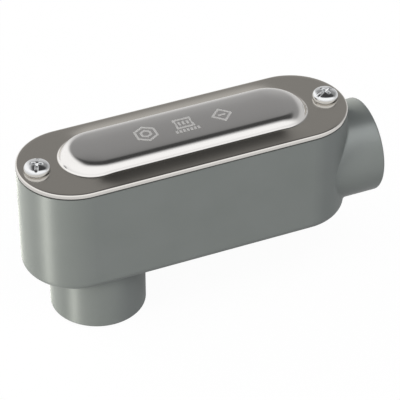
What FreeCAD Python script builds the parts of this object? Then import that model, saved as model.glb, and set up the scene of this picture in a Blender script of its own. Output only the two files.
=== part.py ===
import FreeCAD, Part
import math
import os
import Sketcher

# Threaded elbow conduit body, trade size 3/4, with its outlet at the back.
# Frame: millimetres, origin at the centre of the back hub's mouth, +Z out through the cover,
# +X along the body towards the end hub.

os.makedirs("parts", exist_ok=True)
document = FreeCAD.newDocument("conduit_body")
sheet = document.addObject("Spreadsheet::Sheet", "sizes")

DRIVING_SIZES = {
    # casting
    "body_length": 127.0,
    "body_width": 41.0,
    "body_depth": 41.5,
    "body_wall": 3.0,
    "floor_wall": 3.2,
    "draft_angle": 0.35,
    "bottom_edge_radius": 3.3,
    "cavity_edge_radius": 2.0,
    # hubs
    "hub_diameter": 35.6,
    "hub_bore_diameter": 26.9,
    "hub_mouth_radius": 0.9,
    "hub_root_radius": 1.2,
    "thread_depth": 15.5,
    "throat_diameter": 20.9,
    "throat_lip_radius": 1.6,
    "throat_straight": 1.0,
    "back_hub_reach": 21.2,
    "back_hub_inset": 28.3,
    "end_hub_reach": 10.1,
    "end_hub_floor_gap": 0.2,
    # screw bosses of the casting
    "screw_edge_distance": 7.0,
    "boss_radius": 4.5,
    "boss_depth": 9.0,
    "tapped_depth": 8.3,
    # gasket
    "gasket_thickness": 0.5,
    "gasket_edge_inset": 0.2,
    "gasket_window_width": 32.0,
    "gasket_boss_margin": 0.5,
    # cover
    "cover_thickness": 1.6,
    "cover_edge_radius": 0.7,
    "panel_length": 97.0,
    "panel_width": 24.4,
    "panel_rise": 4.1,
    "panel_crown_radius": 90.0,
    "panel_crest_radius": 3.8,
    "panel_foot_radius": 0.8,
    # screws
    "screw_radius": 2.4,
    "screw_length": 9.5,
    "screw_tip_chamfer": 0.6,
    "head_radius": 4.75,
    "head_side_height": 1.05,
    "head_corner_radius": 1.6,
    "head_crown_radius": 11.0,
    "thread_clearance": 0.05,
    "cover_hole_clearance": 0.1,
    "gasket_hole_clearance": 0.4,
    "recess_depth": 2.0,
    "recess_span": 5.4,
    "recess_wing": 1.3,
    "recess_tip_span": 1.8,
    "recess_tip_wing": 0.6,
    "slot_width": 1.2,
    "slot_depth": 1.1,
    "left_screw_turn": 65.0,
    "right_screw_turn": 20.0,
    # how far a cut starts outside the metal that it cuts
    "cut_margin": 0.3,
}

WORKED_OUT_SIZES = {
    # outlines seen from above: a straight run with a half circle at each end
    "end_radius": "=body_width / 2",
    "end_centre": "=(body_length - body_width) / 2",
    "cavity_radius": "=end_radius - body_wall",
    "gasket_radius": "=end_radius - gasket_edge_inset",
    "window_radius": "=gasket_window_width / 2",
    "window_centre": "=screw_offset - boss_radius - gasket_boss_margin - window_radius",
    "panel_radius": "=panel_width / 2",
    "panel_centre": "=(panel_length - panel_width) / 2",
    "screw_offset": "=body_length / 2 - screw_edge_distance",
    # places along the body
    "middle": "=body_length / 2 - back_hub_inset",
    "end_hub_mouth": "=middle + body_length / 2 + end_hub_reach",
    # heights
    "floor_level": "=back_hub_reach",
    "cavity_floor": "=floor_level + floor_wall",
    "rim_level": "=floor_level + body_depth",
    "cover_underside": "=rim_level + gasket_thickness",
    "cover_top": "=cover_underside + cover_thickness",
    "hub_radius": "=hub_diameter / 2",
    # metal beside the back hub at the floor, which the rounded edges there have to fit
    "hub_side_gap": "=end_radius - body_depth * tan(draft_angle) - hub_radius",
    "bottom_edge_fillet": "=min(bottom_edge_radius; 1.35 * hub_side_gap)",
    "hub_root_fillet": "=min(hub_root_radius; hub_side_gap / 2)",
    "end_hub_level": "=floor_level + hub_radius + end_hub_floor_gap",
    "bore_radius": "=hub_bore_diameter / 2",
    "throat_radius": "=throat_diameter / 2",
    # the end hub reaches inwards as far as its thread and its throat need
    "end_hub_length": "=thread_depth + 2 * throat_lip_radius + throat_straight",
    "tapped_radius": "=screw_radius + thread_clearance",
    "cover_hole_radius": "=screw_radius + cover_hole_clearance",
    "gasket_hole_radius": "=screw_radius + gasket_hole_clearance",
    # section of the raised panel, from the level of the flange's top: a wide crown about a centre
    # on the middle line, a crest arc inside it, and a hollow foot arc that runs out on the flange
    "crown_drop": "=panel_crown_radius - panel_rise",
    "foot_lift": "=crown_drop + panel_foot_radius",
    "crown_to_foot": "=sqrt(panel_radius ^ 2 + foot_lift ^ 2)",
    "crown_to_crest": "=panel_crown_radius - panel_crest_radius",
    "crest_to_foot": "=panel_crest_radius + panel_foot_radius",
    "crest_along": "=(crown_to_crest ^ 2 - crest_to_foot ^ 2 + crown_to_foot ^ 2) / (2 * crown_to_foot)",
    "crest_across": "=sqrt(crown_to_crest ^ 2 - crest_along ^ 2)",
    "crest_reach": "=(crest_along * panel_radius - crest_across * foot_lift) / crown_to_foot",
    "crest_lift": "=(crest_along * foot_lift + crest_across * panel_radius) / crown_to_foot",
    # section of a screw's pan head: a straight side, a corner arc and a crown arc
    "head_corner_reach": "=head_radius - head_corner_radius",
    "crown_to_corner": "=head_crown_radius - head_corner_radius",
    "head_corner_lift": "=sqrt(crown_to_corner ^ 2 - head_corner_reach ^ 2)",
    "head_height": "=head_side_height + head_crown_radius - head_corner_lift",
}


def fill_sheet():
    """Write every size to the sheet, with its name as the cell's alias."""
    row = 1
    for table in (DRIVING_SIZES, WORKED_OUT_SIZES):
        for name, value in table.items():
            sheet.set("A%d" % row, name)
            sheet.setAlias("B%d" % row, name)
            row += 1
    row = 1
    for table in (DRIVING_SIZES, WORKED_OUT_SIZES):
        for name, value in table.items():
            sheet.set("B%d" % row, str(value))
            row += 1
    document.recompute()


def size(name):
    return float(sheet.get(name))


def sizes_of(expression):
    """Turn a formula of size names into one that an object of the document can be bound to."""
    words = expression.replace("(", " ( ").replace(")", " ) ").split()
    return " ".join("sizes." + word if word in ALL_NAMES else word for word in words)


def value_of(expression):
    """The number that a formula of size names gives now."""
    total = document.getObject("scratch")
    if total is None:
        total = document.addObject("App::FeaturePython", "scratch")
        total.addProperty("App::PropertyFloat", "Value")
    total.setExpression("Value", sizes_of(expression))
    total.recompute()
    return total.Value


ALL_NAMES = set(DRIVING_SIZES) | set(WORKED_OUT_SIZES)


def new_body(label):
    body = document.addObject("PartDesign::Body", label)
    body.Label = label
    return body


def origin_plane(body, role):
    for feature in body.Origin.OriginFeatures:
        if feature.Role == role:
            return feature
    raise ValueError(role)


def new_sketch(body, name, role, offset):
    """A sketch on one of the body's own origin planes, moved along the plane's normal."""
    sketch = body.newObject("Sketcher::SketchObject", name)
    sketch.AttachmentSupport = [(origin_plane(body, role), "")]
    sketch.MapMode = "FlatFace"
    sketch.setExpression("AttachmentOffset.Base.z", sizes_of(offset))
    document.recompute()
    return sketch


def bind(sketch, constraint, name, expression):
    """Add a dimension to the sketch and tie it to the sheet."""
    index = sketch.addConstraint(constraint)
    sketch.renameConstraint(index, name)
    sketch.setExpression("Constraints." + name, sizes_of(expression))


def stadium(sketch, name, centre, radius):
    """Two straight runs along X joined by half circles, symmetric about the sketch's origin."""
    half = value_of(centre)
    curve = value_of(radius)
    up = FreeCAD.Vector(0, 0, 1)
    right_end = FreeCAD.Vector(half, 0, 0)
    left_end = FreeCAD.Vector(-half, 0, 0)
    right = sketch.addGeometry(Part.ArcOfCircle(Part.Circle(right_end, up, curve), -math.pi / 2, math.pi / 2))
    left = sketch.addGeometry(Part.ArcOfCircle(Part.Circle(left_end, up, curve), math.pi / 2, 3 * math.pi / 2))
    top = sketch.addGeometry(
        Part.LineSegment(FreeCAD.Vector(half, curve, 0), FreeCAD.Vector(-half, curve, 0)))
    bottom = sketch.addGeometry(
        Part.LineSegment(FreeCAD.Vector(-half, -curve, 0), FreeCAD.Vector(half, -curve, 0)))
    joints = [(right, 2, top, 1), (top, 2, left, 1), (left, 2, bottom, 1), (bottom, 2, right, 1)]
    for joint in joints:
        sketch.addConstraint(Sketcher.Constraint("Tangent", *joint))
    sketch.addConstraint(Sketcher.Constraint("Symmetric", right, 3, left, 3, -1, 1))
    sketch.addConstraint(Sketcher.Constraint("Horizontal", top))
    bind(sketch, Sketcher.Constraint("Radius", right, curve), name + "_radius", radius)
    bind(sketch, Sketcher.Constraint("DistanceX", -1, 1, right, 3, half), name + "_centre", centre)


def place_point(sketch, name, point, x_size, y_size):
    """Fix a sketch point by its distances from the sketch's origin, on an axis where one is zero."""
    for axis, kind, formula in ((-2, "DistanceX", x_size), (-1, "DistanceY", y_size)):
        if formula == "0":
            sketch.addConstraint(Sketcher.Constraint("PointOnObject", *point, axis))
        elif formula.startswith("-"):
            positive = formula[1:].strip()
            dimension = Sketcher.Constraint(kind, *point, -1, 1, value_of(positive))
            bind(sketch, dimension, name + "_" + kind, positive)
        else:
            dimension = Sketcher.Constraint(kind, -1, 1, *point, value_of(formula))
            bind(sketch, dimension, name + "_" + kind, formula)


def round_hole(sketch, name, x_size, y_size, radius):
    """A circle whose centre and radius are tied to the sheet."""
    centre = FreeCAD.Vector(value_of(x_size), value_of(y_size), 0)
    circle = sketch.addGeometry(Part.Circle(centre, FreeCAD.Vector(0, 0, 1), value_of(radius)))
    place_point(sketch, name, (circle, 3), x_size, y_size)
    bind(sketch, Sketcher.Constraint("Radius", circle, value_of(radius)), name + "_radius", radius)


def outline(sketch, corners):
    """A closed outline. Each corner is (x, y, run), where run says how the outline goes on to the
    next corner: None for a straight line, or (radius, turn) for an arc, turn being +1 for an arc
    that turns left and -1 for one that turns right."""
    points = [FreeCAD.Vector(value_of(x), value_of(y), 0) for x, y, run in corners]
    ends = []
    for number, (x, y, run) in enumerate(corners):
        start = points[number]
        stop = points[(number + 1) % len(points)]
        if run is None:
            line = sketch.addGeometry(Part.LineSegment(start, stop))
            ends.append(((line, 1), (line, 2)))
            continue
        radius = value_of(run[0])
        chord = stop - start
        side = FreeCAD.Vector(-chord.y, chord.x, 0).normalize() * run[1]
        reach = math.sqrt(max(radius ** 2 - (chord.Length / 2) ** 2, 0))
        centre = (start + stop) * 0.5 + side * reach
        first, last = (start, stop) if run[1] > 0 else (stop, start)
        from_angle = math.atan2(first.y - centre.y, first.x - centre.x)
        to_angle = math.atan2(last.y - centre.y, last.x - centre.x)
        circle = Part.Circle(centre, FreeCAD.Vector(0, 0, 1), radius)
        arc = sketch.addGeometry(Part.ArcOfCircle(circle, from_angle, to_angle))
        bind(sketch, Sketcher.Constraint("Radius", arc, radius), "bend%d" % number, run[0])
        ends.append(((arc, 1), (arc, 2)) if run[1] > 0 else ((arc, 2), (arc, 1)))
    for number, (start, stop) in enumerate(ends):
        following = ends[(number + 1) % len(ends)][0]
        sketch.addConstraint(Sketcher.Constraint("Coincident", *stop, *following))
        place_point(sketch, "corner%d" % number, start, corners[number][0], corners[number][1])


def feature(body, kind, name, sketch, **links):
    made = body.newObject("PartDesign::" + kind, name)
    made.Profile = sketch
    for key, value in links.items():
        if isinstance(value, str) and key in ("Length", "Angle", "TaperAngle"):
            made.setExpression(key, sizes_of(value))
        else:
            setattr(made, key, value)
    sketch.Visibility = False
    document.recompute()
    return made


def round_edges(body, name, chosen, radius):
    """Round the edges of the body's last feature that the test picks."""
    base = body.Tip
    names = []
    for number, edge in enumerate(base.Shape.Edges):
        if chosen(edge):
            names.append("Edge%d" % (number + 1))
    if not names:
        raise ValueError("no edge for " + name)
    rounding = body.newObject("PartDesign::Fillet", name)
    rounding.Base = (base, names)
    rounding.setExpression("Radius", sizes_of(radius))
    document.recompute()
    return rounding


def lies_level(edge, level):
    box = edge.BoundBox
    return abs(box.ZMin - level) < 0.01 and abs(box.ZMax - level) < 0.01


def make_casting():
    """One hollow casting: the open-topped body, its two threaded hubs and its two screw bosses."""
    body = new_body("body_casting")
    block = new_sketch(body, "block_outline", "XY_Plane", "rim_level")
    stadium(block, "block", "end_centre", "end_radius")
    feature(body, "Pad", "block", block, Length="body_depth", TaperAngle="- draft_angle", Reversed=True)
    round_edges(body, "bottom_edge", lambda edge: lies_level(edge, size("floor_level")), "bottom_edge_fillet")

    back_hub = new_sketch(body, "back_hub_outline", "XY_Plane", "0 mm")
    round_hole(back_hub, "hub", "- middle", "0", "hub_radius")
    feature(body, "Pad", "back_hub", back_hub, Length="floor_level + floor_wall / 2")
    end_hub = new_sketch(body, "end_hub_outline", "YZ_Plane", "end_hub_mouth - middle")
    round_hole(end_hub, "hub", "0", "end_hub_level", "hub_radius")
    feature(body, "Pad", "end_hub", end_hub, Length="end_hub_reach + end_radius", Reversed=True)
    round_edges(body, "hub_roots", lambda edge: is_hub_root(edge), "hub_root_fillet")

    chamber = new_sketch(body, "chamber_outline", "XY_Plane", "rim_level")
    stadium(chamber, "chamber", "end_centre", "cavity_radius")
    feature(body, "Pocket", "chamber", chamber, Length="body_depth - floor_wall", TaperAngle="- draft_angle")
    round_edges(body, "chamber_edge", lambda edge: lies_level(edge, size("cavity_floor")), "cavity_edge_radius")

    collar = new_sketch(body, "collar_outline", "YZ_Plane", "end_hub_mouth - middle - end_hub_length")
    round_hole(collar, "collar", "0", "end_hub_level", "hub_radius")
    feature(body, "Pad", "end_hub_collar", collar, Length="end_hub_length - end_hub_reach - body_wall / 2")
    bosses = new_sketch(body, "boss_outlines", "XY_Plane", "rim_level")
    round_hole(bosses, "left_boss", "- screw_offset", "0", "boss_radius")
    round_hole(bosses, "right_boss", "screw_offset", "0", "boss_radius")
    feature(body, "Pad", "bosses", bosses, Length="boss_depth", Reversed=True)
    screw_holes = new_sketch(body, "screw_hole_outlines", "XY_Plane", "rim_level")
    round_hole(screw_holes, "left_hole", "- screw_offset", "0", "tapped_radius")
    round_hole(screw_holes, "right_hole", "screw_offset", "0", "tapped_radius")
    feature(body, "Pocket", "screw_holes", screw_holes, Length="tapped_depth")

    back_bore = hub_bore(body, "back_bore", "XZ_Plane", "cavity_floor")
    back_bore.setExpression("AttachmentOffset.Base.x", sizes_of("- middle"))
    feature(body, "Groove", "back_hub_bore", back_bore, ReferenceAxis=(back_bore, ["V_Axis"]))
    end_bore = hub_bore(body, "end_bore", "XZ_Plane", "end_hub_length")
    end_bore.setExpression("AttachmentOffset.Base.x", sizes_of("end_hub_mouth - middle"))
    end_bore.setExpression("AttachmentOffset.Base.y", sizes_of("end_hub_level"))
    end_bore.AttachmentOffset = FreeCAD.Placement(
        end_bore.AttachmentOffset.Base, FreeCAD.Rotation(FreeCAD.Vector(0, 0, 1), 90))
    feature(body, "Groove", "end_hub_bore", end_bore, ReferenceAxis=(end_bore, ["V_Axis"]))
    round_edges(body, "hub_mouths", lambda edge: is_hub_mouth(edge), "hub_mouth_radius")
    return body


def is_hub_root(edge):
    """Edges where a hub's barrel meets the outside of the block."""
    box = edge.BoundBox
    back_hub = box.Center.x < 0 and box.ZMin > size("floor_level") - 0.01
    on_barrel = True
    for point in edge.discretize(5):
        if back_hub:
            reach = math.hypot(point.x + size("middle"), point.y)
        else:
            reach = math.hypot(point.y, point.z - size("end_hub_level"))
        on_barrel = on_barrel and abs(reach - size("hub_radius")) < 0.01
    inside_mouth = box.XMax < size("end_hub_mouth") - size("middle") - 0.01
    return on_barrel and inside_mouth and box.DiagonalLength > 1 and box.ZMin > 0.01


def is_hub_mouth(edge):
    """The outer round edge of each hub's mouth."""
    curve = edge.Curve
    if curve.TypeId != "Part::GeomCircle" or abs(curve.Radius - size("hub_radius")) > 0.01:
        return False
    at_back = abs(curve.Center.z) < 0.01
    at_end = abs(curve.Center.x - (size("end_hub_mouth") - size("middle"))) < 0.01
    return at_back or at_end


def hub_bore(body, name, role, length):
    """Half section of a hub's bore, from its mouth inwards: the wall of the thread, a shoulder that
    stops the conduit, and a throat with two rounded lips for the wires."""
    sketch = new_sketch(body, name, role, "0 mm")
    lip = "throat_radius + throat_lip_radius"
    outline(sketch, [
        ("0", "0", None),
        ("bore_radius", "0", None),
        ("bore_radius", "thread_depth", None),
        (lip, "thread_depth", ("throat_lip_radius", -1)),
        ("throat_radius", "thread_depth + throat_lip_radius", None),
        ("throat_radius", length + " - throat_lip_radius", ("throat_lip_radius", -1)),
        (lip, length, None),
        ("0", length, None),
    ])
    return sketch


def make_gasket():
    """Flat rubber gasket with a window for the wires and a hole for each screw."""
    body = new_body("cover_gasket")
    ring = new_sketch(body, "gasket_outline", "XY_Plane", "0 mm")
    stadium(ring, "rim", "end_centre", "gasket_radius")
    stadium(ring, "window", "window_centre", "window_radius")
    round_hole(ring, "left_hole", "- screw_offset", "0", "gasket_hole_radius")
    round_hole(ring, "right_hole", "screw_offset", "0", "gasket_hole_radius")
    feature(body, "Pad", "gasket", ring, Length="gasket_thickness")
    body.setExpression("Placement.Base.z", sizes_of("rim_level"))
    return body


def panel_section(body, name, place, skin, flange, bottom):
    """Half section of the raised panel across the body, its outer skin or, with skin set to the
    sheet's thickness, the underside that runs parallel to it."""
    sketch = new_sketch(body, name, "YZ_Plane", place)
    crown = "(panel_crown_radius - %s)" % skin
    crest = "(panel_crest_radius - %s)" % skin
    foot = "(panel_foot_radius + %s)" % skin
    crown_share = "%s / crown_to_crest" % crown
    foot_share = "%s / crest_to_foot" % crest
    crown_end = "crest_reach * " + crown_share
    crown_end_level = "cover_thickness - crown_drop + crest_lift * " + crown_share
    crest_end = "crest_reach + (panel_radius - crest_reach) * " + foot_share
    crest_level = "(cover_thickness - crown_drop + crest_lift)"
    crest_end_level = crest_level + " + (foot_lift - crest_lift) * " + foot_share
    outline(sketch, [
        ("0", bottom, None),
        ("panel_radius", bottom, None),
        ("panel_radius", flange, (foot, -1)),
        (crest_end, crest_end_level, (crest, 1)),
        (crown_end, crown_end_level, (crown, 1)),
        ("0", "cover_thickness + panel_rise - " + skin, None),
    ])
    return sketch


def raise_panel(body, kinds, name, skin, flange, bottom):
    """Sweep the panel's section along the straight run and round both ends."""
    straight, turned, into_run = kinds
    left = panel_section(body, name + "_left_section", "- panel_centre", skin, flange, bottom)
    right = panel_section(body, name + "_right_section", "panel_centre", skin, flange, bottom)
    run = panel_section(body, name + "_run_section", "- panel_centre", skin, flange, bottom)
    half_run = feature(body, straight, name + "_half_run", run, Length="2 * panel_centre", Reversed=into_run)
    both = body.newObject("PartDesign::Mirrored", name + "_run")
    both.Originals = [half_run]
    both.MirrorPlane = (origin_plane(body, "XZ_Plane"), [""])
    body.Tip = both
    document.recompute()
    feature(body, turned, name + "_left_end", left, ReferenceAxis=(left, ["V_Axis"]), Angle=180.0)
    feature(body, turned, name + "_right_end", right, ReferenceAxis=(right, ["V_Axis"]), Angle=180.0,
            Reversed=True)


def is_flange_rim(edge):
    """The outer top edge of the cover's flange."""
    if not lies_level(edge, size("cover_thickness")):
        return False
    for point in edge.discretize(5):
        past_straight = max(abs(point.x) - size("end_centre"), 0)
        if abs(math.hypot(past_straight, point.y) - size("end_radius")) > 0.01:
            return False
    return True


def make_cover():
    """Stamped sheet cover: a flat flange on the gasket and a raised panel of the same thickness."""
    body = new_body("cover")
    flange = new_sketch(body, "flange_outline", "XY_Plane", "0 mm")
    stadium(flange, "flange", "end_centre", "end_radius")
    feature(body, "Pad", "flange", flange, Length="cover_thickness")
    outside = ("Pad", "Revolution", False)
    raise_panel(body, outside, "panel", "0", "cover_thickness", "cover_thickness / 2")
    inside = ("Pocket", "Groove", True)
    raise_panel(body, inside, "hollow", "cover_thickness", "0", "- cut_margin")
    round_edges(body, "flange_rim", is_flange_rim, "cover_edge_radius")
    holes = new_sketch(body, "hole_outlines", "XY_Plane", "0 mm")
    round_hole(holes, "left_hole", "- screw_offset", "0", "cover_hole_radius")
    round_hole(holes, "right_hole", "screw_offset", "0", "cover_hole_radius")
    feature(body, "Pocket", "screw_holes", holes, Length="cover_thickness", Reversed=True)
    body.setExpression("Placement.Base.z", sizes_of("cover_underside"))
    return body


def cross_outline(body, name, level, span, wing):
    """A cross of four equal wings, seen along the screw."""
    sketch = new_sketch(body, name, "XY_Plane", level)
    long = span + " / 2"
    short = wing + " / 2"
    quarter = [(long, short), (short, short), (short, long)]
    corners = []
    for x, y in quarter:
        corners.append((x, y, None))
    for x, y in reversed(quarter):
        corners.append(("- " + x, y, None))
    for x, y in quarter:
        corners.append(("- " + x, "- " + y, None))
    for x, y in reversed(quarter):
        corners.append((x, "- " + y, None))
    outline(sketch, corners)
    return sketch


def make_screw(label, side, turn):
    """Pan head machine screw with a cross recess and a slot. Its frame starts under the head."""
    body = new_body(label)
    section = new_sketch(body, "screw_section", "XZ_Plane", "0 mm")
    crown_share = "head_crown_radius / crown_to_corner"
    outline(section, [
        ("0", "- screw_length", None),
        ("screw_radius - screw_tip_chamfer", "- screw_length", None),
        ("screw_radius", "- (screw_length - screw_tip_chamfer)", None),
        ("screw_radius", "0", None),
        ("head_radius", "0", None),
        ("head_radius", "head_side_height", ("head_corner_radius", 1)),
        ("head_corner_reach * " + crown_share,
         "head_height - head_crown_radius + head_corner_lift * " + crown_share, ("head_crown_radius", 1)),
        ("0", "head_height", None),
    ])
    feature(body, "Revolution", "screw", section, ReferenceAxis=(section, ["V_Axis"]))
    mouth = cross_outline(body, "recess_mouth", "head_height + cut_margin", "recess_span", "recess_wing")
    tip = cross_outline(body, "recess_tip", "head_height - recess_depth", "recess_tip_span",
                        "recess_tip_wing")
    feature(body, "SubtractiveLoft", "recess", mouth, Sections=[tip], Ruled=True)
    slot = new_sketch(body, "slot_outline", "XY_Plane", "head_height + cut_margin")
    outline(slot, [
        ("head_radius + cut_margin", "slot_width / 2", None),
        ("- (head_radius + cut_margin)", "slot_width / 2", None),
        ("- (head_radius + cut_margin)", "- slot_width / 2", None),
        ("head_radius + cut_margin", "- slot_width / 2", None),
    ])
    feature(body, "Pocket", "slot", slot, Length="slot_depth + cut_margin")
    body.Placement = FreeCAD.Placement(FreeCAD.Vector(), FreeCAD.Rotation(FreeCAD.Vector(0, 0, 1), 1))
    body.setExpression("Placement.Rotation.Angle", sizes_of(turn) + " * 1 deg")
    body.setExpression("Placement.Base.x", sizes_of("middle " + side + " screw_offset"))
    body.setExpression("Placement.Base.z", sizes_of("cover_top"))
    return body


def check_document():
    """Stop if any object of the document failed to build."""
    for item in document.Objects:
        if "Invalid" in item.State or "Error" in item.State:
            raise RuntimeError("%s failed: %s" % (item.Name, item.State))


def write_parts(bodies):
    check_document()
    for body in bodies:
        if body.Shape.isNull() or not body.Shape.isValid():
            raise RuntimeError(body.Label + " has no valid shape")
    for body in bodies:
        body.Shape.exportStep("parts/" + body.Label + ".step")
        print(body.Label, round(body.Shape.Volume, 1), "cubic millimetres")


fill_sheet()
casting = make_casting()
gasket = make_gasket()
cover = make_cover()
for long_body in (casting, gasket, cover):
    long_body.setExpression("Placement.Base.x", sizes_of("middle"))
screws = [
    make_screw("cover_screw_left", "-", "left_screw_turn"),
    make_screw("cover_screw_right", "+", "right_screw_turn"),
]
document.recompute()
write_parts([casting, gasket, cover] + screws)
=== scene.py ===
import bmesh
import bpy
import math
from mathutils import Matrix, Vector


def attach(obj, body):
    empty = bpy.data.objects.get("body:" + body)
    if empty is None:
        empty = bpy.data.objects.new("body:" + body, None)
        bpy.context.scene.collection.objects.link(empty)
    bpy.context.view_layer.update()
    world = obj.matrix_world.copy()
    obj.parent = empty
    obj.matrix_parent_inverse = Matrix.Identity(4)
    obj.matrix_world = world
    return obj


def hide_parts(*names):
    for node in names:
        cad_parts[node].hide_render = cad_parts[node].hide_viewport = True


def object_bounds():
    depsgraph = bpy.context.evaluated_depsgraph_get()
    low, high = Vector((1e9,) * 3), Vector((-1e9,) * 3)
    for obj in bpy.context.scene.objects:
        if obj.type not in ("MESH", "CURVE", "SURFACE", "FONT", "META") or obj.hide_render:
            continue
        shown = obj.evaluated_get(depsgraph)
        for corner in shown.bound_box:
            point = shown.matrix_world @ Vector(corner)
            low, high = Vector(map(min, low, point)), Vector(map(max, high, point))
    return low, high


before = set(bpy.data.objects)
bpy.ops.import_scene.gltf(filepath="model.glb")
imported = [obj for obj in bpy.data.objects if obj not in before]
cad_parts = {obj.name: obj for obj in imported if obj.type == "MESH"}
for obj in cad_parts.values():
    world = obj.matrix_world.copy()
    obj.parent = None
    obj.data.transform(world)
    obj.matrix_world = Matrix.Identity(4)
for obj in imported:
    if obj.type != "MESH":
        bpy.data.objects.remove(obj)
cad_low, cad_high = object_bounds()
scene = bpy.context.scene
mm = 0.001

# places and sizes in millimetres that the solids have too
MIDDLE = 35.2                 # middle of the body along X, from the back hub's axis
COVER_UNDERSIDE = 63.2
SHEET = 1.6                   # thickness of the cover
FLANGE_RADIUS = 20.5          # round ends of the cover
FLANGE_CENTRE = 43.0          # their centres, each way from the middle
EDGE_RADIUS = 0.7
CROWN_RADIUS = 90.0           # the panel's crown
FOOT_RADIUS = 0.8             # the hollow where the panel meets the flange
SCREW_OFFSET = 56.5           # each screw's distance from the middle
SCREW_HOLE_RADIUS = 2.5
SCREW_RADIUS = 2.4
SCREW_LENGTH = 9.5
HUB_BORE_RADIUS = 13.45
THREAD_DEPTH = 15.5
END_HUB_MOUTH = 108.8
END_HUB_LEVEL = 39.2

# the pressed panel, a little softer than in the solids and no higher
PANEL_RADIUS = 13.5
PANEL_CENTRE = 34.8
PANEL_RISE = 4.05
CREST_RADIUS = 4.6
END_EASE = 1.0                # how much longer the slopes at the panel's two ends are
BURR = 0.15                   # broken lower edge of the sheet

# how far pressing the panel drew the flange up beside it
DISH_NEAR = 0.76              # along the side where Y is negative
DISH_FAR = 0.65
DISH_LEAST = 0.06             # round the ends
DISH_START = 31.0             # distance from the middle at which it starts to fade
DISH_FADE = 13.0
DISH_BEND_NEAR = 0.35         # 0 for a straight slope down to the edge, 1 for a hollow one
DISH_BEND_FAR = 0.8

# threads
SCREW_CORE = 1.85
SCREW_PITCH = 1.058           # 24 turns to the inch
SCREW_RIDGE = 0.4
HUB_PITCH = 1.814             # 14 turns to the inch
HUB_RIDGE = 0.93
HUB_LEAD = 1.2                # plain bore before the first turn

# stamped figures, measured from the middle of the panel
MARK_WIDTH = 0.85
MARK_DEPTH = 0.1
MARK_LIFT = 0.03
NUT_PLACE = -14.9
NUT_RADIUS = 4.2
NUT_HOLE_RADIUS = 1.9
TICKS = 7
TICK_SPACING = 1.4
DIAMOND_PLACE = 14.8
DIAMOND_RADIUS = 3.6

# camera: azimuth and elevation in degrees, and the place that it looks at
VIEW = (-23.55, 37.28)
CAMERA_AIM = (34.5715, -15.6754, 45.5988)
CAMERA_DISTANCE = 818.4
CAMERA_LENS = 204.2


# ---------------------------------------------------------------- materials

def linear(hex_colour):
    """An sRGB hex colour as the linear values that the shaders take."""
    channels = [int(hex_colour[i:i + 2], 16) / 255 for i in (1, 3, 5)]
    return [c / 12.92 if c <= 0.04045 else ((c + 0.055) / 1.055) ** 2.4 for c in channels] + [1.0]


def add_node(tree, kind, settings=None, **inputs):
    """Add a node. settings are its own properties. Each input is a value, or a pair (node, output)
    to link, and goes by the socket's name, or by its number as in i0."""
    node = tree.nodes.new(kind)
    for name, value in (settings or {}).items():
        setattr(node, name, value)
    for name, value in inputs.items():
        key = int(name[1:]) if name[0] == "i" and name[1:].isdigit() else name.replace("_", " ")
        socket = node.inputs[key]
        if isinstance(value, tuple) and isinstance(value[0], bpy.types.Node):
            tree.links.new(value[0].outputs[value[1]], socket)
        else:
            socket.default_value = value
    return node


def new_material(name):
    material = bpy.data.materials.new(name)
    material.use_nodes = True
    tree = material.node_tree
    tree.nodes.clear()
    return material, tree


def finish_material(tree, shader):
    add_node(tree, "ShaderNodeOutputMaterial", Surface=(shader, "BSDF"))


def grey_enamel():
    """Satin grey enamel baked on a die-cast aluminium body. It is smooth but not a mirror, with
    the faint orange peel of a sprayed coat over the casting's slightly uneven skin."""
    material, tree = new_material("satin_grey_enamel_on_cast_aluminium")
    place = add_node(tree, "ShaderNodeTexCoord")
    tone = add_node(tree, "ShaderNodeTexNoise", Vector=(place, "Object"), Scale=60.0, Detail=4.0)
    colour = add_node(tree, "ShaderNodeMix", {"data_type": "RGBA"}, i0=(tone, "Fac"),
                      i6=linear("#666b69"), i7=linear("#6e7271"))
    # orange peel about 1.2 mm across, over casting unevenness of about 8 mm
    peel = add_node(tree, "ShaderNodeTexNoise", Vector=(place, "Object"), Scale=820.0, Detail=2.0)
    swell = add_node(tree, "ShaderNodeTexNoise", Vector=(place, "Object"), Scale=120.0, Detail=2.0)
    swell_bump = add_node(tree, "ShaderNodeBump", Strength=0.12, Distance=0.0004,
                          Height=(swell, "Fac"))
    peel_bump = add_node(tree, "ShaderNodeBump", Strength=0.12, Distance=0.0001,
                         Height=(peel, "Fac"), Normal=(swell_bump, "Normal"))
    rough = add_node(tree, "ShaderNodeMapRange", i0=(tone, "Fac"), i3=0.40, i4=0.46)
    # draws the coat's highlights out up and down the walls
    grain = add_node(tree, "ShaderNodeTangent", {"direction_type": "RADIAL", "axis": "Z"})
    shader = add_node(tree, "ShaderNodeBsdfPrincipled", Base_Color=(colour, 2),
                      Roughness=(rough, 0), Metallic=0.3, Anisotropic=0.85,
                      Anisotropic_Rotation=0.25, Tangent=(grain, "Tangent"),
                      Normal=(peel_bump, "Normal"))
    finish_material(tree, shader)
    return material


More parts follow.
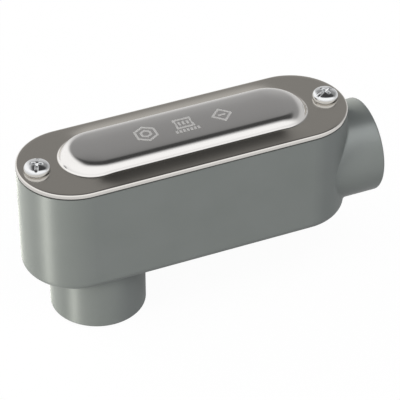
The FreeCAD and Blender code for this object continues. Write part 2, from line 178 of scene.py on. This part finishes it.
def rolled_sheet():
    """Bright rolled aluminium sheet, stamped: it mirrors the room softly, with fine rolling marks
    along its length that blur reflections a little across it."""
    material, tree = new_material("bright_rolled_aluminium_sheet")
    place = add_node(tree, "ShaderNodeTexCoord")
    # rolling lines about 0.25 mm apart, several centimetres long
    stretch = add_node(tree, "ShaderNodeMapping", Vector=(place, "Object"),
                       Scale=(25.0, 4000.0, 4000.0))
    lines = add_node(tree, "ShaderNodeTexNoise", Vector=(stretch, "Vector"), Scale=1.0, Detail=3.0)
    cloud = add_node(tree, "ShaderNodeTexNoise", Vector=(place, "Object"), Scale=45.0, Detail=3.0)
    rough = add_node(tree, "ShaderNodeMapRange", i0=(cloud, "Fac"), i3=0.13, i4=0.20)
    bump = add_node(tree, "ShaderNodeBump", Strength=0.03, Distance=0.00002, Height=(lines, "Fac"))
    # painted highlight: the panel and the rounded edge get a paler colour, which brightens their
    # reflections, and the flange a darker, slightly brown one, which dims its reflections
    burnish = add_node(tree, "ShaderNodeAttribute", {"attribute_name": "burnish"})
    colour = add_node(tree, "ShaderNodeMix", {"data_type": "RGBA"}, i0=(burnish, "Fac"),
                      i6=linear("#cec9c1"), i7=linear("#e4e2e0"))
    shader = add_node(tree, "ShaderNodeBsdfPrincipled", Base_Color=(colour, 2), Metallic=1.0,
                      Roughness=(rough, 0), Normal=(bump, "Normal"))
    finish_material(tree, shader)
    return material


def frosted_mark():
    """Aluminium frosted by a stamping die: the roughened metal scatters light and looks paler than
    the smooth sheet around it."""
    material, tree = new_material("die_frosted_aluminium")
    place = add_node(tree, "ShaderNodeTexCoord")
    grain = add_node(tree, "ShaderNodeTexNoise", Vector=(place, "Object"), Scale=6000.0, Detail=2.0)
    bump = add_node(tree, "ShaderNodeBump", Strength=0.4, Distance=0.00003, Height=(grain, "Fac"))
    shader = add_node(tree, "ShaderNodeBsdfPrincipled", Base_Color=linear("#f6f5f3"), Metallic=1.0,
                      Roughness=0.6, Normal=(bump, "Normal"))
    finish_material(tree, shader)
    return material


def bright_plating():
    """Bright zinc plating on a steel screw: nearly a mirror, very slightly blue."""
    material, tree = new_material("bright_zinc_plated_steel")
    place = add_node(tree, "ShaderNodeTexCoord")
    cloud = add_node(tree, "ShaderNodeTexNoise", Vector=(place, "Object"), Scale=400.0, Detail=3.0)
    rough = add_node(tree, "ShaderNodeMapRange", i0=(cloud, "Fac"), i3=0.08, i4=0.16)
    shader = add_node(tree, "ShaderNodeBsdfPrincipled", Base_Color=linear("#e4e5e6"), Metallic=1.0,
                      Roughness=(rough, 0))
    finish_material(tree, shader)
    return material


def grey_rubber():
    """Grey sheet rubber, matt, with a fine grain and a pale bloom."""
    material, tree = new_material("grey_sheet_rubber")
    place = add_node(tree, "ShaderNodeTexCoord")
    grain = add_node(tree, "ShaderNodeTexNoise", Vector=(place, "Object"), Scale=2500.0, Detail=2.0)
    colour = add_node(tree, "ShaderNodeMix", {"data_type": "RGBA"}, i0=(grain, "Fac"),
                      i6=linear("#4a4a48"), i7=linear("#5c5c59"))
    bump = add_node(tree, "ShaderNodeBump", Strength=0.3, Distance=0.00005, Height=(grain, "Fac"))
    shader = add_node(tree, "ShaderNodeBsdfPrincipled", Base_Color=(colour, 2), Roughness=0.75,
                      Normal=(bump, "Normal"))
    finish_material(tree, shader)
    return material


def dress(node, material):
    """Give a CAD piece its finish."""
    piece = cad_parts[node]
    piece.data.materials.clear()
    piece.data.materials.append(material)


# ---------------------------------------------------------------- shapes

def place_piece(name, mesh, materials):
    piece = bpy.data.objects.new(name, mesh)
    scene.collection.objects.link(piece)
    for material in materials:
        mesh.materials.append(material)
    return piece


def shell_to_mesh(shell, name, crease):
    """Make a mesh of the shell, smooth but for edges sharper than the crease in degrees."""
    for face in shell.faces:
        face.smooth = True
    mesh = bpy.data.meshes.new(name)
    shell.to_mesh(mesh)
    shell.free()
    mesh.set_sharp_from_angle(angle=math.radians(crease))
    return mesh


def smooth_mesh(name, points, faces, crease=35.0):
    """A closed mesh of the points and faces, with outward faces and no doubled points."""
    shell = bmesh.new()
    corners = [shell.verts.new(point) for point in points]
    for face in faces:
        shell.faces.new([corners[i] for i in face])
    bmesh.ops.remove_doubles(shell, verts=shell.verts, dist=1e-7)
    bmesh.ops.dissolve_degenerate(shell, edges=shell.edges, dist=1e-8)
    bmesh.ops.recalc_face_normals(shell, faces=shell.faces)
    return shell_to_mesh(shell, name, crease)


def stadium_ring(radius, centre, bends=48, runs=40):
    """Points round a straight run along X with a half circle at both ends, as (x, y)."""
    ring = []
    for end in (1, -1):
        for step in range(bends + 1):
            angle = math.pi * (step / bends - end / 2)
            ring.append((end * centre + radius * math.cos(angle), radius * math.sin(angle)))
        for step in range(1, runs):
            x = end * centre * (1 - 2 * step / runs)
            ring.append((x, end * radius))
    return ring


def panel_profile(steps_crown=10, steps_crest=12, steps_foot=6):
    """The panel's section as (distance from its spine, height over the flange): a wide crown, a
    crest arc inside it and a hollow foot arc, each tangent to the next."""
    # measured from the crown's centre, which lies this far under the flange's top
    drop = CROWN_RADIUS - PANEL_RISE
    foot = Vector((PANEL_RADIUS, drop + FOOT_RADIUS))
    to_crest = CROWN_RADIUS - CREST_RADIUS
    reach = CREST_RADIUS + FOOT_RADIUS
    span = foot.length
    along = (to_crest ** 2 - reach ** 2 + span ** 2) / (2 * span)
    across = math.sqrt(to_crest ** 2 - along ** 2)
    crest = Vector((along * foot.x - across * foot.y, along * foot.y + across * foot.x)) / span
    crown_tilt = math.asin(crest.x / to_crest)
    steep = math.asin((foot.x - crest.x) / reach)
    profile = []
    for step in range(steps_crown):
        tilt = crown_tilt * step / steps_crown
        profile.append((CROWN_RADIUS * math.sin(tilt), CROWN_RADIUS * math.cos(tilt) - drop))
    for step in range(steps_crest):
        tilt = crown_tilt + (steep - crown_tilt) * step / steps_crest
        profile.append((crest.x + CREST_RADIUS * math.sin(tilt),
                        crest.y + CREST_RADIUS * math.cos(tilt) - drop))
    for step in range(steps_foot + 1):
        tilt = steep * (1 - step / steps_foot)
        profile.append((foot.x - FOOT_RADIUS * math.sin(tilt),
                        FOOT_RADIUS - FOOT_RADIUS * math.cos(tilt)))
    return profile


def dish(x, y):
    """How far the press lifted the panel's foot: most along the straight sides."""
    fade = min(max((abs(x) - DISH_START) / DISH_FADE, 0.0), 1.0)
    fade = fade * fade * (3 - 2 * fade)
    return DISH_LEAST + (DISH_FAR if y > 0 else DISH_NEAR) * (1 - fade)


def cover_points(radius, centre, height, lift_share):
    """Points round one ring of the sheet, from the cover's middle and underside. The lift share
    is how much of the dish reaches the ring: all at the panel, none at the edge."""
    points = []
    for x, y in stadium_ring(radius, centre):
        lift = dish(x, y)
        bend = DISH_BEND_FAR if y > 0 else DISH_BEND_NEAR
        reach = bend * lift_share ** 2 + (1 - bend) * lift_share
        points.append((x, y, SHEET + height * (1 - lift / PANEL_RISE) + lift * reach))
    return points


def cover_rows():
    """The sheet's top from its spine to its edge, as (radius, centre, height, lift share)."""
    rows = []
    for radius, height in panel_profile():
        rows.append((radius, PANEL_CENTRE - END_EASE * height / PANEL_RISE, height, 1.0))
    flange_steps = 10
    for step in range(1, flange_steps + 1):
        share = step / flange_steps
        radius = PANEL_RADIUS + (FLANGE_RADIUS - EDGE_RADIUS - PANEL_RADIUS) * share
        centre = PANEL_CENTRE + (FLANGE_CENTRE - PANEL_CENTRE) * share
        rows.append((radius, centre, 0.0, 1 - share))
    return rows


def edge_rings():
    """The rounded upper edge of the sheet and its broken lower edge."""
    rings = []
    steps = 6
    for step in range(1, steps + 1):
        turn = math.pi / 2 * step / steps
        radius = FLANGE_RADIUS - EDGE_RADIUS + EDGE_RADIUS * math.sin(turn)
        level = SHEET - EDGE_RADIUS + EDGE_RADIUS * math.cos(turn)
        rings.append([(x, y, level) for x, y in stadium_ring(radius, FLANGE_CENTRE)])
    rings.append([(x, y, BURR) for x, y in stadium_ring(FLANGE_RADIUS, FLANGE_CENTRE)])
    rings.append([(x, y, 0.0) for x, y in stadium_ring(FLANGE_RADIUS - BURR, FLANGE_CENTRE)])
    return rings


def underside_rings(rows):
    """The sheet's underside, parallel to its top, from the edge back to the spine."""
    panel = [row for row in rows if row[3] == 1.0]
    rings = []
    for number, (radius, centre, height, lift_share) in reversed(list(enumerate(rows))):
        tilt = 0.0
        if number < len(panel):
            before = panel[max(number - 1, 0)]
            after = panel[min(number + 1, len(panel) - 1)]
            tilt = math.atan((before[2] - after[2]) / (after[0] - before[0]))
        inner = max(radius - SHEET * math.sin(tilt), 0.0)
        drop = SHEET * math.cos(tilt)
        ring = cover_points(inner, centre, height, lift_share)
        rings.append([(x, y, z - drop) for x, y, z in ring])
    return rings


def stamped_cover(sheet):
    """The cover as one pressed sheet: a crowned panel, a flange that the press left slightly
    dished beside it, a rounded edge, and a hole for each screw."""
    rows = cover_rows()
    rings = [cover_points(*row) for row in rows] + edge_rings() + underside_rings(rows)
    points = []
    faces = []
    count = len(rings[0])
    for ring in rings:
        for x, y, z in ring:
            points.append(((MIDDLE + x) * mm, y * mm, (COVER_UNDERSIDE + z) * mm))
    for row in range(len(rings) - 1):
        for i in range(count):
            j = (i + 1) % count
            upper, lower = row * count, (row + 1) * count
            faces.append((upper + i, upper + j, lower + j, lower + i))
    mesh = smooth_mesh("stamped_cover", points, faces)
    piece = place_piece("stamped_cover", mesh, [sheet])
    punch_holes(piece)
    mark_painted_highlight(piece.data)
    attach(piece, "cover")
    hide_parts("cover")


def mark_painted_highlight(mesh):
    """Store how much painted highlight, as a paler colour, each point gets: fully on the panel,
    partly on the edge.
    """
    foot_band, edge_band, edge_fade, edge_share = 0.6, 0.6, 0.3, 0.6
    burnish = mesh.attributes.new("burnish", "FLOAT", "POINT")
    for vertex, cell in zip(mesh.vertices, burnish.data):
        x = abs(vertex.co.x / mm - MIDDLE)
        y = abs(vertex.co.y / mm)
        from_panel = math.hypot(max(x - PANEL_CENTRE, 0.0), y) - PANEL_RADIUS
        from_edge = FLANGE_RADIUS - math.hypot(max(x - FLANGE_CENTRE, 0.0), y)
        inside = min(max(-from_panel / foot_band, 0.0), 1.0)
        at_edge = min(max((edge_band - from_edge) / edge_fade, 0.0), 1.0)
        cell.value = max(inside, edge_share * at_edge)


def punch_holes(piece):
    """Cut both screw holes through the sheet."""
    for side in (-1, 1):
        punch = bmesh.new()
        spot = Vector((MIDDLE + side * SCREW_OFFSET, 0.0, COVER_UNDERSIDE + SHEET / 2))
        place = Matrix.Translation(spot * mm)
        bmesh.ops.create_cone(punch, cap_ends=True, segments=40, radius1=SCREW_HOLE_RADIUS * mm,
                              radius2=SCREW_HOLE_RADIUS * mm, depth=4 * SHEET * mm, matrix=place)
        mesh = bpy.data.meshes.new("punch")
        punch.to_mesh(mesh)
        punch.free()
        tool = bpy.data.objects.new("punch", mesh)
        scene.collection.objects.link(tool)
        cut = piece.modifiers.new("hole", "BOOLEAN")
        cut.operation = "DIFFERENCE"
        cut.solver = "EXACT"
        cut.object = tool
        settle(piece)
        bpy.data.objects.remove(tool)
        bpy.data.meshes.remove(mesh)


def ridge_tree(name, material):
    """A right-handed helical ridge round the Z axis, as a node tree with its sizes as inputs in
    metres. Side is 1 for a ridge that points inwards and -1 for one that points outwards."""
    tree = bpy.data.node_groups.new(name, "GeometryNodeTree")
    tree.interface.new_socket("Geometry", in_out="OUTPUT", socket_type="NodeSocketGeometry")
    for label in ("Pitch Radius", "Length", "Turns", "Ridge Height", "Ridge Half Width", "Side"):
        tree.interface.new_socket(label, in_out="INPUT", socket_type="NodeSocketFloat")
    given = tree.nodes.new("NodeGroupInput")
    helix = add_node(tree, "GeometryNodeCurveSpiral", Resolution=48, Rotations=(given, "Turns"),
                     Start_Radius=(given, "Pitch Radius"), End_Radius=(given, "Pitch Radius"),
                     Height=(given, "Length"), Reverse=True)
    upright = add_node(tree, "GeometryNodeSetCurveNormal", {"mode": "Z_UP"}, Curve=(helix, "Curve"))
    wedge = add_node(tree, "GeometryNodeCurvePrimitiveCircle", {"mode": "RADIUS"}, Resolution=3,
                     Radius=1.0)
    depth = add_node(tree, "ShaderNodeMath", {"operation": "MULTIPLY"}, i0=(given, "Ridge Height"),
                     i1=(given, "Side"))
    scale = add_node(tree, "ShaderNodeCombineXYZ", X=(depth, 0), Y=(given, "Ridge Half Width"),
                     Z=1.0)
    shaped = add_node(tree, "GeometryNodeTransform", Geometry=(wedge, "Curve"), Scale=(scale, 0))
    swept = add_node(tree, "GeometryNodeCurveToMesh", Curve=(upright, 0), Profile_Curve=(shaped, 0),
                     Fill_Caps=True)
    whole = add_node(tree, "GeometryNodeRealizeInstances", Geometry=(swept, 0))
    dressed = add_node(tree, "GeometryNodeSetMaterial", Geometry=(whole, 0), Material=material)
    add_node(tree, "NodeGroupOutput", Geometry=(dressed, 0))
    return tree


def helical_ridge(name, tree, radius, length, pitch, height, side):
    """A piece with the ridge tree's result as its mesh, in metres from z = 0 up."""
    piece = bpy.data.objects.new(name, bpy.data.meshes.new(name))
    scene.collection.objects.link(piece)
    grower = piece.modifiers.new("ridge", "NODES")
    grower.node_group = tree
    sizes = {"Pitch Radius": radius * mm, "Length": length * mm, "Turns": length / pitch,
             "Ridge Height": height * mm, "Ridge Half Width": pitch * 0.5 * mm, "Side": side}
    for item in tree.interface.items_tree:
        if item.in_out == "INPUT":
            grower[item.identifier] = float(sizes[item.name])
    settle(piece)
    return piece


def settle(piece):
    """Turn the result of a piece's modifiers into its plain mesh."""
    view = bpy.context.evaluated_depsgraph_get()
    view.update()
    finished = bpy.data.meshes.new_from_object(piece.evaluated_get(view))
    piece.modifiers.clear()
    piece.data = finished


def absorb(shell, mesh, place):
    """Add a mesh to a shell, moved by a matrix."""
    added = bmesh.new()
    added.from_mesh(mesh)
    added.transform(place)
    moved = bpy.data.meshes.new("moved")
    added.to_mesh(moved)
    added.free()
    shell.from_mesh(moved)
    bpy.data.meshes.remove(moved)


def lathe(shell, profile, place, segments=40):
    """Turn a profile of (radius, height) in millimetres round the Z axis into the shell."""
    rings = []
    for radius, height in profile:
        ring = []
        for step in range(segments):
            angle = 2 * math.pi * step / segments
            spot = Vector((radius * math.cos(angle), radius * math.sin(angle), height)) * mm
            ring.append(shell.verts.new(place @ spot))
        rings.append(ring)
    for upper, lower in zip(rings, rings[1:]):
        for i in range(segments):
            j = (i + 1) % segments
            shell.faces.new((upper[i], lower[i], lower[j], upper[j]))
    shell.faces.new(list(reversed(rings[-1])))


def threaded_screw(node, body, side, ridges, plating):
    """A pan head screw with a rolled No. 10-24 thread in place of its plain shank."""
    axis = Matrix.Translation(((MIDDLE + side * SCREW_OFFSET) * mm, 0.0, 0.0))
    shell = bmesh.new()
    shell.from_mesh(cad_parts[node].data)
    bmesh.ops.remove_doubles(shell, verts=shell.verts, dist=1e-7)
    seat = COVER_UNDERSIDE + SHEET
    shank = [vertex for vertex in shell.verts if vertex.co.z < seat * mm - 1e-5]
    bmesh.ops.delete(shell, geom=shank, context="VERTS")
    tip = seat - SCREW_LENGTH
    neck, neck_drop = SCREW_RADIUS + 0.05, 0.3
    tip_radius, tip_rise = 1.3, 0.5
    lathe(shell, [(neck, seat), (SCREW_CORE, seat - neck_drop), (SCREW_CORE, tip + tip_rise),
                  (tip_radius, tip)], axis)
    first_turn, plain_length = 0.8, 1.5
    ridge = helical_ridge("ridge", ridges, SCREW_RADIUS - SCREW_RIDGE, SCREW_LENGTH - plain_length,
                          SCREW_PITCH, SCREW_RIDGE, -1.0)
    absorb(shell, ridge.data, axis @ Matrix.Translation((0.0, 0.0, (tip + first_turn) * mm)))
    bpy.data.objects.remove(ridge)
    mesh = shell_to_mesh(shell, node + "_threaded", 30.0)
    piece = place_piece(node + "_threaded", mesh, [plating])
    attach(piece, body)
    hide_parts(node)


def hub_threads(ridges, enamel):
    """The 14 to the inch thread inside both hubs, as one piece that belongs to the casting."""
    shell = bmesh.new()
    root_sink = 0.05              # how far the ridge's root lies in the wall
    ridge = helical_ridge("ridge", ridges, HUB_BORE_RADIUS - HUB_RIDGE / 2 + root_sink,
                          THREAD_DEPTH - 2 * HUB_LEAD, HUB_PITCH, HUB_RIDGE, 1.0)
    up = Matrix.Translation((0.0, 0.0, HUB_LEAD * mm))
    out = Matrix.Translation(Vector((END_HUB_MOUTH, 0.0, END_HUB_LEVEL)) * mm)
    absorb(shell, ridge.data, up)
    absorb(shell, ridge.data, out @ Matrix.Rotation(-math.pi / 2, 4, "Y") @ up)
    bpy.data.objects.remove(ridge)
    mesh = shell_to_mesh(shell, "hub_threads", 30.0)
    piece = place_piece("hub_threads", mesh, [enamel])
    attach(piece, "casting")


def crown_level(x, y):
    """Height of the panel's skin in millimetres at a place measured from the cover's middle."""
    height = math.sqrt(CROWN_RADIUS ** 2 - y * y) - (CROWN_RADIUS - PANEL_RISE)
    lift = dish(x, y)
    return COVER_UNDERSIDE + SHEET + height * (1 - lift / PANEL_RISE) + lift


def polygon_path(count, radius, turn):
    """Corners of a regular polygon, with the first one repeated at the end."""
    corners = []
    for step in range(count + 1):
        angle = math.radians(turn) + 2 * math.pi * step / count
        corners.append((radius * math.cos(angle), radius * math.sin(angle)))
    return corners


def stroke(shell, path, middle):
    """A flat line along a path on the panel's crown, about a place along the cover."""
    closed = path[0] == path[-1]
    points = [Vector(point) for point in path]
    pairs = []
    for number, point in enumerate(points):
        before = points[number - 1] if number > 0 else (points[-2] if closed else None)
        after = points[number + 1] if number + 1 < len(points) else (points[1] if closed else None)
        into = (point - before).normalized() if before is not None else (after - point).normalized()
        onward = (after - point).normalized() if after is not None else into
        bisector = (into + onward).normalized()
        across = Vector((-bisector.y, bisector.x))
        reach = MARK_WIDTH / 2 / max(across.dot(Vector((-into.y, into.x))), 0.4)
        pair = []
        for side in (1, -1):
            spot = point + across * reach * side
            level = crown_level(middle + spot.x, spot.y) + MARK_LIFT
            pair.append(shell.verts.new(Vector((MIDDLE + middle + spot.x, spot.y, level)) * mm))
        pairs.append(pair)
    for first, second in zip(pairs, pairs[1:]):
        shell.faces.new((first[0], first[1], second[1], second[0]))


def stamped_marks(frost):
    """Three plain stamped figures: a nut, a tile over a row of ticks, and a diamond."""
    shell = bmesh.new()
    stroke(shell, polygon_path(6, NUT_RADIUS, 30.0), NUT_PLACE)
    stroke(shell, polygon_path(6, NUT_HOLE_RADIUS, 30.0), NUT_PLACE)
    stroke(shell, [(-3.1, -1.7), (3.1, -1.7), (3.1, 3.3), (-3.1, 3.3), (-3.1, -1.7)], 0.0)
    for x in (-1.6, 0.0, 1.6):
        stroke(shell, [(x, -0.2), (x, 1.8)], 0.0)
    for tick in range(TICKS):
        x = (tick - (TICKS - 1) / 2) * TICK_SPACING
        stroke(shell, [(x, -4.4), (x, -2.9)], 0.0)
    stroke(shell, polygon_path(4, DIAMOND_RADIUS, 0.0), DIAMOND_PLACE)
    stroke(shell, [(-1.4, 0.0), (1.4, 0.0)], DIAMOND_PLACE)
    bmesh.ops.recalc_face_normals(shell, faces=shell.faces)
    for face in shell.faces:
        if face.normal.z < 0:
            face.normal_flip()
    mesh = bpy.data.meshes.new("stamped_marks")
    shell.to_mesh(mesh)
    shell.free()
    piece = place_piece("stamped_marks", mesh, [frost])
    depth = piece.modifiers.new("depth", "SOLIDIFY")
    depth.thickness = MARK_DEPTH * mm
    depth.offset = -1.0
    settle(piece)
    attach(piece, "cover")


# ---------------------------------------------------------------- studio

def pale_floor():
    """White table under the body. It glows a little for the camera, so that it stays white, and
    for reflections, and keeps a faint soft shadow."""
    mesh = bpy.data.meshes.new("floor")
    half = 2.0                    # metres
    level = cad_low.z - 0.2 * mm
    camera_glow, mirror_glow = 0.9, 0.55
    corners = [(x * half, y * half, level) for x, y in ((-1, -1), (1, -1), (1, 1), (-1, 1))]
    mesh.from_pydata(corners, [], [(0, 1, 2, 3)])
    floor = bpy.data.objects.new("floor", mesh)
    scene.collection.objects.link(floor)
    material, tree = new_material("white_table")
    matt = add_node(tree, "ShaderNodeBsdfDiffuse", Color=linear("#f2f2f2"))
    glow = add_node(tree, "ShaderNodeEmission", Color=(1.0, 1.0, 1.0, 1.0), Strength=1.05)
    ray = add_node(tree, "ShaderNodeLightPath")
    mirrored = add_node(tree, "ShaderNodeMath", {"operation": "MAXIMUM"}, i0=(ray, "Is Glossy Ray"),
                        i1=(ray, "Is Transmission Ray"))
    in_mirror = add_node(tree, "ShaderNodeMath", {"operation": "MULTIPLY"}, i0=(mirrored, 0),
                         i1=mirror_glow)
    direct = add_node(tree, "ShaderNodeMath", {"operation": "MULTIPLY"}, i0=(ray, "Is Camera Ray"),
                      i1=camera_glow)
    share = add_node(tree, "ShaderNodeMath", {"operation": "MAXIMUM"}, i0=(direct, 0),
                     i1=(in_mirror, 0))
    mix = add_node(tree, "ShaderNodeMixShader", Fac=(share, 0), i1=(matt, 0), i2=(glow, 0))
    add_node(tree, "ShaderNodeOutputMaterial", Surface=(mix, 0))
    mesh.materials.append(material)


def studio_world():
    """Soft studio: white on the camera's side and on the left; behind the body a light wall that
    gets darker with height, up to a nearly black ceiling."""
    world = bpy.data.worlds.new("studio")
    scene.world = world
    world.use_nodes = True
    tree = world.node_tree
    tree.nodes.clear()
    direction = add_node(tree, "ShaderNodeTexCoord")
    parts = add_node(tree, "ShaderNodeSeparateXYZ", Vector=(direction, "Generated"))
    ramp = add_node(tree, "ShaderNodeValToRGB", Fac=(parts, "Z"))
    # the back wall as (sine of the height angle, brightness)
    stops = [(0.0, 0.7), (0.30, 0.64), (0.41, 0.52), (0.51, 0.32), (0.69, 0.30),
             (0.755, 0.06), (0.95, 0.055)]
    elements = ramp.color_ramp.elements
    while len(elements) < len(stops):
        elements.new(0.5)
    for element, (position, level) in zip(elements, stops):
        element.position = position
        element.color = (level, level, level, 1.0)
    right, _, back = view_axes(*VIEW)
    towards = Vector((back.x, back.y, 0.0)).normalized()
    front = add_node(tree, "ShaderNodeVectorMath", {"operation": "DOT_PRODUCT"},
                     i0=(direction, "Generated"), i1=towards)
    front_side = add_node(tree, "ShaderNodeMapRange", {"interpolation_type": "SMOOTHSTEP"},
                          i0=(front, "Value"), i1=-0.28, i2=0.22)
    left = add_node(tree, "ShaderNodeVectorMath", {"operation": "DOT_PRODUCT"},
                    i0=(direction, "Generated"), i1=-right)
    left_side = add_node(tree, "ShaderNodeMapRange", {"interpolation_type": "SMOOTHSTEP"},
                         i0=(left, "Value"), i1=0.22, i2=0.5)
    behind = add_node(tree, "ShaderNodeMix", {"data_type": "RGBA"}, i0=(left_side, 0),
                      i6=(ramp, "Color"), i7=(1.15, 1.15, 1.15, 1.0))
    # the camera's side is brighter overhead
    open_side = add_node(tree, "ShaderNodeMapRange", {"interpolation_type": "SMOOTHSTEP"},
                         i0=(parts, "Z"), i1=0.1, i2=0.55, i3=0.9, i4=1.18)
    level = add_node(tree, "ShaderNodeMix", {"data_type": "RGBA"}, i0=(front_side, 0),
                     i6=(behind, 2), i7=(open_side, 0))
    ray = add_node(tree, "ShaderNodeLightPath")
    # dimmer as light on matt paint than as seen in a reflection
    strength = add_node(tree, "ShaderNodeMapRange", i0=(ray, "Is Glossy Ray"), i3=0.75, i4=1.0)
    studio = add_node(tree, "ShaderNodeBackground", Color=(level, 2), Strength=(strength, 0))
    white = add_node(tree, "ShaderNodeBackground", Color=(1.0, 1.0, 1.0, 1.0), Strength=1.0)
    mix = add_node(tree, "ShaderNodeMixShader", Fac=(ray, "Is Camera Ray"), i1=(studio, 0),
                   i2=(white, 0))
    add_node(tree, "ShaderNodeOutputWorld", Surface=(mix, 0))


def view_axes(azimuth, elevation):
    """The camera's right, up and backward directions for an azimuth and elevation in degrees."""
    turn = math.radians(azimuth)
    lift = math.radians(elevation)
    level = math.cos(lift)
    back = Vector((math.sin(turn) * level, -math.cos(turn) * level, math.sin(lift)))
    right = Vector((math.cos(turn), math.sin(turn), 0.0))
    return right, back.cross(right), back


def place_camera():
    right, up, back = view_axes(*VIEW)
    camera = bpy.data.cameras.new("camera")
    camera.sensor_width = 36.0
    camera.lens = CAMERA_LENS
    camera.clip_start = 0.05
    camera.clip_end = 20.0
    stand = bpy.data.objects.new("camera", camera)
    scene.collection.objects.link(stand)
    place = (Vector(CAMERA_AIM) + back * CAMERA_DISTANCE) * mm
    axes = Matrix((right, up, back)).transposed().to_4x4()
    stand.matrix_world = Matrix.Translation(place) @ axes
    scene.camera = stand


def soft_light(name, turn, lift, width, height, radiance, colour, only):
    """A soft box that points at the body from its turn to the left of the camera and its height
    angle in degrees. Its sizes are in metres, and it lights only the pieces of one collection."""
    distance = 1.2
    light = bpy.data.lights.new(name, "AREA")
    light.shape = "RECTANGLE"
    light.size = width
    light.size_y = height
    light.energy = radiance * math.pi * width * height
    light.color = colour
    lamp = bpy.data.objects.new(name, light)
    scene.collection.objects.link(lamp)
    away = view_axes(VIEW[0] - turn, lift)[2]
    aim = Vector((MIDDLE, 0.0, 40.0)) * mm
    lamp.location = aim + away * distance
    lamp.rotation_euler = away.to_track_quat("Z", "Y").to_euler()
    lamp.light_linking.receiver_collection = only


place_camera()
pale_floor()
studio_world()
warm = linear("#fffcf2")[:3]
neutral = (1.0, 1.0, 1.0)
painted = bpy.data.collections.new("painted")
painted.objects.link(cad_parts["body_casting"])
soft_light("left_strip", turn=51.0, lift=10.0, width=0.24, height=0.9, radiance=40.0,
           colour=warm, only=painted)
soft_light("back_left_box", turn=130.0, lift=5.0, width=0.2, height=0.8, radiance=92.0,
           colour=warm, only=painted)
soft_light("overhead_box", turn=-64.0, lift=57.0, width=0.7, height=0.40, radiance=7.5,
           colour=neutral, only=painted)

enamel = grey_enamel()
sheet = rolled_sheet()
frost = frosted_mark()
plating = bright_plating()
rubber = grey_rubber()
dress("body_casting", enamel)
dress("cover_gasket", rubber)
stamped_cover(sheet)
stamped_marks(frost)
screw_ridges = ridge_tree("screw_ridge", plating)
threaded_screw("cover_screw_left", "left_screw", -1, screw_ridges, plating)
threaded_screw("cover_screw_right", "right_screw", 1, screw_ridges, plating)
hub_threads(ridge_tree("hub_ridge", enamel), enamel)

scene.view_settings.view_transform = "Standard"
